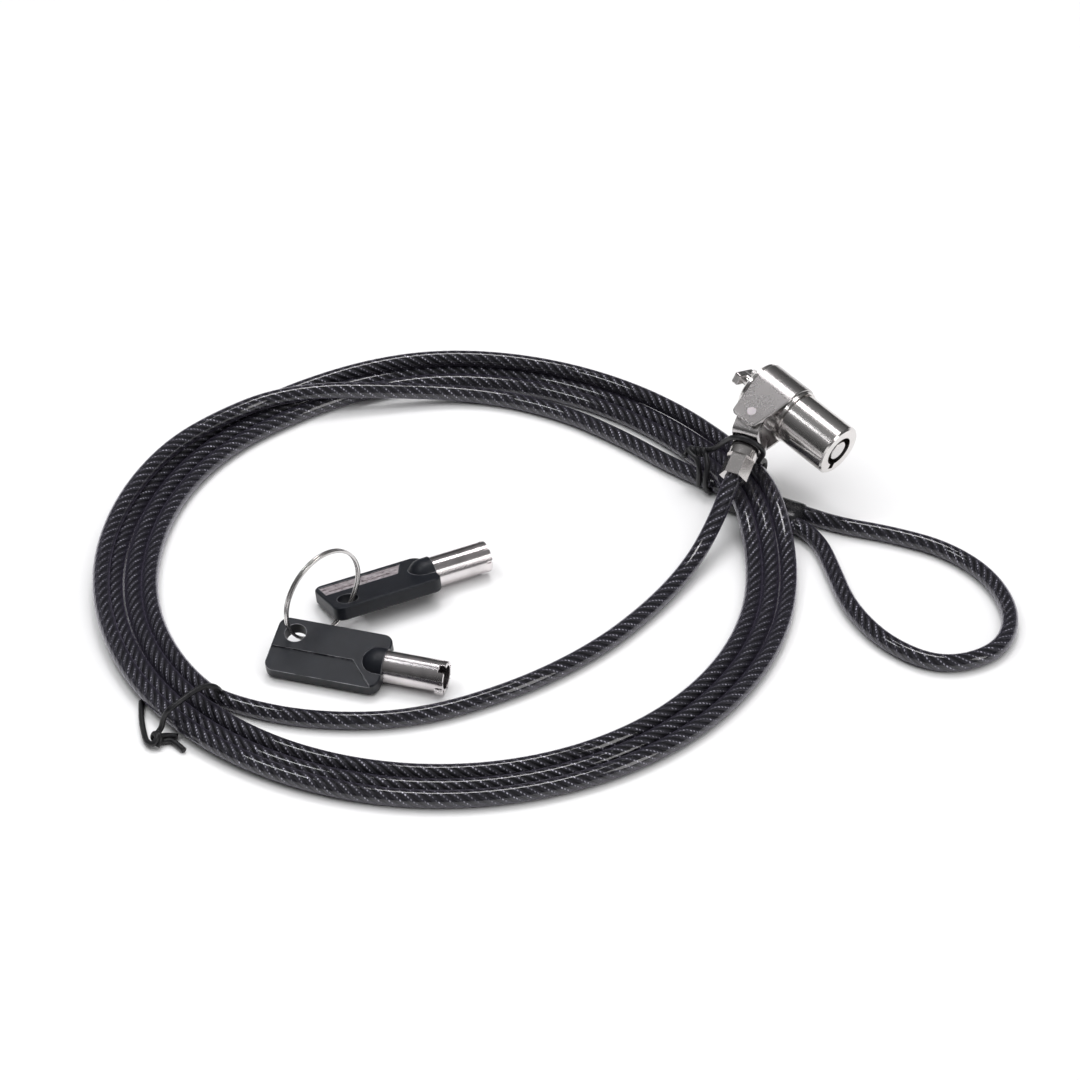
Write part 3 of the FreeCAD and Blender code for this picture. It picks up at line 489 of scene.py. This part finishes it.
def right_tie():
    """One wire from the top of the bundle over the ferrule's crown, round under the bundle and up again."""
    crown = []
    for number in range(8):
        t = math.radians(146.0 - 25.0 * number)
        crown.append(on_link(4.6 * math.cos(t), -6.1, 4.6 * math.sin(t)))
    rise = [(38.6, 23.2, 9.5), (40.4, 22.8, 9.7), (42.2, 20.9, 11.6)]
    down = [(52.4, 17.2, 10.2), (53.6, 19.6, 8.9), (54.6, 21.8, 7.6), (54.6, 22.8, 3.4), (51.6, 23.6, 0.7),
            (44.6, 22.6, 0.7), (41.6, 18.2, 0.7), (40.3, 16.9, 1.8), (39.9, 16.6, 4.5), (40.2, 17.3, 7.2),
            (40.7, 19.0, 9.0), (40.0, 21.6, 9.8)]
    band = wire("ferrule_tie_band", [place(*spot) for spot in rise] + crown + [place(*spot) for spot in down])
    twist = twisted(place(40.4, 21.9, 9.7), place(35.9, 23.4, 9.5), 1.75, 0.0006)
    stub = [place(35.2, 22.8, 8.9), place(34.9, 21.8, 8.6)]
    hanging = [place(36.6, 21.6, 9.5), place(37.9, 20.2, 9.2), place(38.5, 19.0, 7.6), place(38.6, 18.3, 5.0),
               place(38.5, 18.2, 2.6)]
    links = [wire("ferrule_tie_end_a", twist[0] + stub), wire("ferrule_tie_end_b", twist[1] + hanging)]
    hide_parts("ferrule_tie")
    return [band] + links


ties = left_tie() + right_tie()


# --- crimp sleeve -------------------------------------------------------------------------------

def crimp_sleeve():
    """Smooth oval sleeve with softly rounded ends, standing on the table."""
    length, width, height = (value / 1000 for value in SLEEVE_SIZE)
    turn = turn_about("Z", SLEEVE_YAW)
    rows, sides, soft = 28, 36, 0.0016
    vertices, faces = [], []
    for row in range(rows + 1):
        t = -math.cos(math.pi * row / rows)
        reach = (1 - abs(t)) * length / 2
        inset = 0.0 if reach >= soft else soft - math.sqrt(max(soft ** 2 - (soft - reach) ** 2, 0.0))
        for side in range(sides):
            angle = 2 * math.pi * side / sides
            across = math.copysign(abs(math.cos(angle)) ** 0.8, math.cos(angle)) * (width / 2 - inset)
            rise = math.copysign(abs(math.sin(angle)) ** 0.8, math.sin(angle)) * (height / 2 - inset)
            spot = turn @ Vector((t * length / 2, across, rise + height / 2))
            vertices.append(place(*SLEEVE) + spot)
    for row in range(rows):
        for side in range(sides):
            a, b = row * sides + side, row * sides + (side + 1) % sides
            faces.append((a, b, b + sides, a + sides))
    faces.append(tuple(reversed(range(sides))))
    faces.append(tuple(range(rows * sides, (rows + 1) * sides)))
    mesh = bpy.data.meshes.new("sleeve_cover")
    mesh.from_pydata(vertices, [], faces)
    mesh.polygons.foreach_set("use_smooth", [True] * len(mesh.polygons))
    mesh.materials.append(COVER)
    made = bpy.data.objects.new("sleeve_cover", mesh)
    bpy.context.collection.objects.link(made)
    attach(made, "cable")
    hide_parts("crimp_sleeve")
    return made


# --- split ring ---------------------------------------------------------------------------------

def ring_hole(x, y, yaw, roll):
    """The middle of a key's ring hole."""
    turn = turn_about("Z", yaw) @ turn_about("X", roll)
    return place(x, y, KEY_RISE) + turn.to_3x3() @ KEY_HOLE * 0.001


def split_ring():
    """Two flat turns of spring wire side by side, crossing over once, upright through both holes."""
    front, rear = ring_hole(*FRONT_KEY), ring_hole(*REAR_KEY)
    between = rear - front
    radius = (RING_OUTER - RING_BAND / 2) / 1000
    along = between.normalized()
    rise = math.sqrt(radius ** 2 - (between.length / 2) ** 2)
    centre = (front + rear) / 2 + Vector((0, 0, rise)) - along * RING_SHIFT / 1000
    normal = along.cross(Vector((0, 0, 1)))
    half_band, half_turn = RING_BAND / 2000 - RING_MARGIN, RING_TURN / 2000
    steps, corners, offset = 300, 12, RING_TURN / 2000 + TURN_GAP
    start, end, cross = math.radians(-76), math.radians(616), math.radians(270)
    vertices, faces = [], []
    for step in range(steps + 1):
        angle = start + (end - start) * step / steps
        change = min(max((angle - cross) / math.radians(12) * 0.5 + 0.5, 0.0), 1.0)
        side = (change * change * (3 - 2 * change) * 2 - 1) * offset
        outward = along * math.cos(angle) + Vector((0, 0, 1)) * math.sin(angle)
        for corner in range(corners):
            turn = 2 * math.pi * corner / corners
            deep = half_band * math.copysign(abs(math.cos(turn)) ** 0.5, math.cos(turn))
            wide = half_turn * math.copysign(abs(math.sin(turn)) ** 0.5, math.sin(turn))
            vertices.append(centre + outward * (radius + deep) + normal * (side + wide))
    for step in range(steps):
        for corner in range(corners):
            a, b = step * corners + corner, step * corners + (corner + 1) % corners
            faces.append((a, b, b + corners, a + corners))
    faces.append(tuple(reversed(range(corners))))
    faces.append(tuple(range(steps * corners, (steps + 1) * corners)))
    mesh = bpy.data.meshes.new("ring_turns")
    mesh.from_pydata(vertices, [], faces)
    mesh.polygons.foreach_set("use_smooth", [True] * len(mesh.polygons))
    mesh.materials.append(STEEL)
    made = bpy.data.objects.new("ring_turns", mesh)
    bpy.context.collection.objects.link(made)
    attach(made, "ring")
    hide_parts("split_ring")


sleeve = crimp_sleeve()
split_ring()


# --- camera, light and floor --------------------------------------------------------------------

def camera():
    elevation = math.radians(CAMERA_RISE)
    data = bpy.data.cameras.new("camera")
    data.lens = CAMERA_LENS
    data.sensor_width = 36.0
    made = bpy.data.objects.new("camera", data)
    bpy.context.collection.objects.link(made)
    target = place(0, 0, 0)
    away = Vector((0, -math.cos(elevation), math.sin(elevation)))
    made.location = target + away * CAMERA_DISTANCE
    made.rotation_euler = away.to_track_quat("Z", "Y").to_euler()
    bpy.context.scene.camera = made


def area_light(name, location, target, size, power, colour=(1, 1, 1), mirrored=True):
    data = bpy.data.lights.new(name, "AREA")
    data.shape = "RECTANGLE"
    data.size, data.size_y = size
    data.energy = power
    data.color = colour
    made = bpy.data.objects.new(name, data)
    bpy.context.collection.objects.link(made)
    made.visible_glossy = mirrored
    made.location = location
    made.rotation_euler = (Vector(location) - Vector(target)).to_track_quat("Z", "Y").to_euler()


def studio():
    """A plain pale floor, a broad light above, one behind, a small one over the left and one on the right."""
    mesh = bpy.data.meshes.new("floor")
    reach = 8.0
    mesh.from_pydata([(-reach, -reach, 0), (reach, -reach, 0), (reach, reach, 0), (-reach, reach, 0)], [],
                     [(0, 1, 2, 3)])
    floor = bpy.data.objects.new("floor", mesh)
    bpy.context.collection.objects.link(floor)
    mesh.materials.append(floor_material())
    floor.location.z = -FLOOR_DROP
    area_light("fill_light", (0, 0.1, 1.8), (0, 0, 0), (3.0, 3.0), 46.0, (1, 1, 1), False)
    area_light("key_light", (0.02, 0.43, 0.99), (0, 0, 0), (0.3, 0.24), 2.3, (1.0, 0.98, 1.0))
    area_light("near_light", (-0.18, -0.01, 0.34), (-0.06, -0.07, 0), (0.07, 0.07), 0.15, (0.97, 0.98, 1.0))
    area_light("right_light", (0.9, -0.6, 0.5), (0, 0, 0), (0.25, 0.7), 2.5, (1.0, 0.98, 0.98))
    world = bpy.data.worlds.new("studio")
    world.use_nodes = True
    tree = world.node_tree
    back = tree.nodes["Background"]
    direction = tree.nodes.new("ShaderNodeTexCoord").outputs["Generated"]
    split = tree.nodes.new("ShaderNodeSeparateXYZ")
    ramp = tree.nodes.new("ShaderNodeValToRGB")
    elements = ramp.color_ramp.elements
    elements.new(0.5)
    for element, (position, level) in zip(elements, ((0.1, 0.04), (0.5, 0.12), (0.95, 0.22))):
        element.position = position
        element.color = (level, level, level * 1.01, 1.0)
    tree.links.new(direction, split.inputs[0])
    tree.links.new(split.outputs[2], ramp.inputs[0])
    tree.links.new(ramp.outputs[0], back.inputs[0])
    back.inputs[1].default_value = 1.0
    bpy.context.scene.world = world


camera()
studio()
bpy.context.scene.view_settings.view_transform = "Standard"
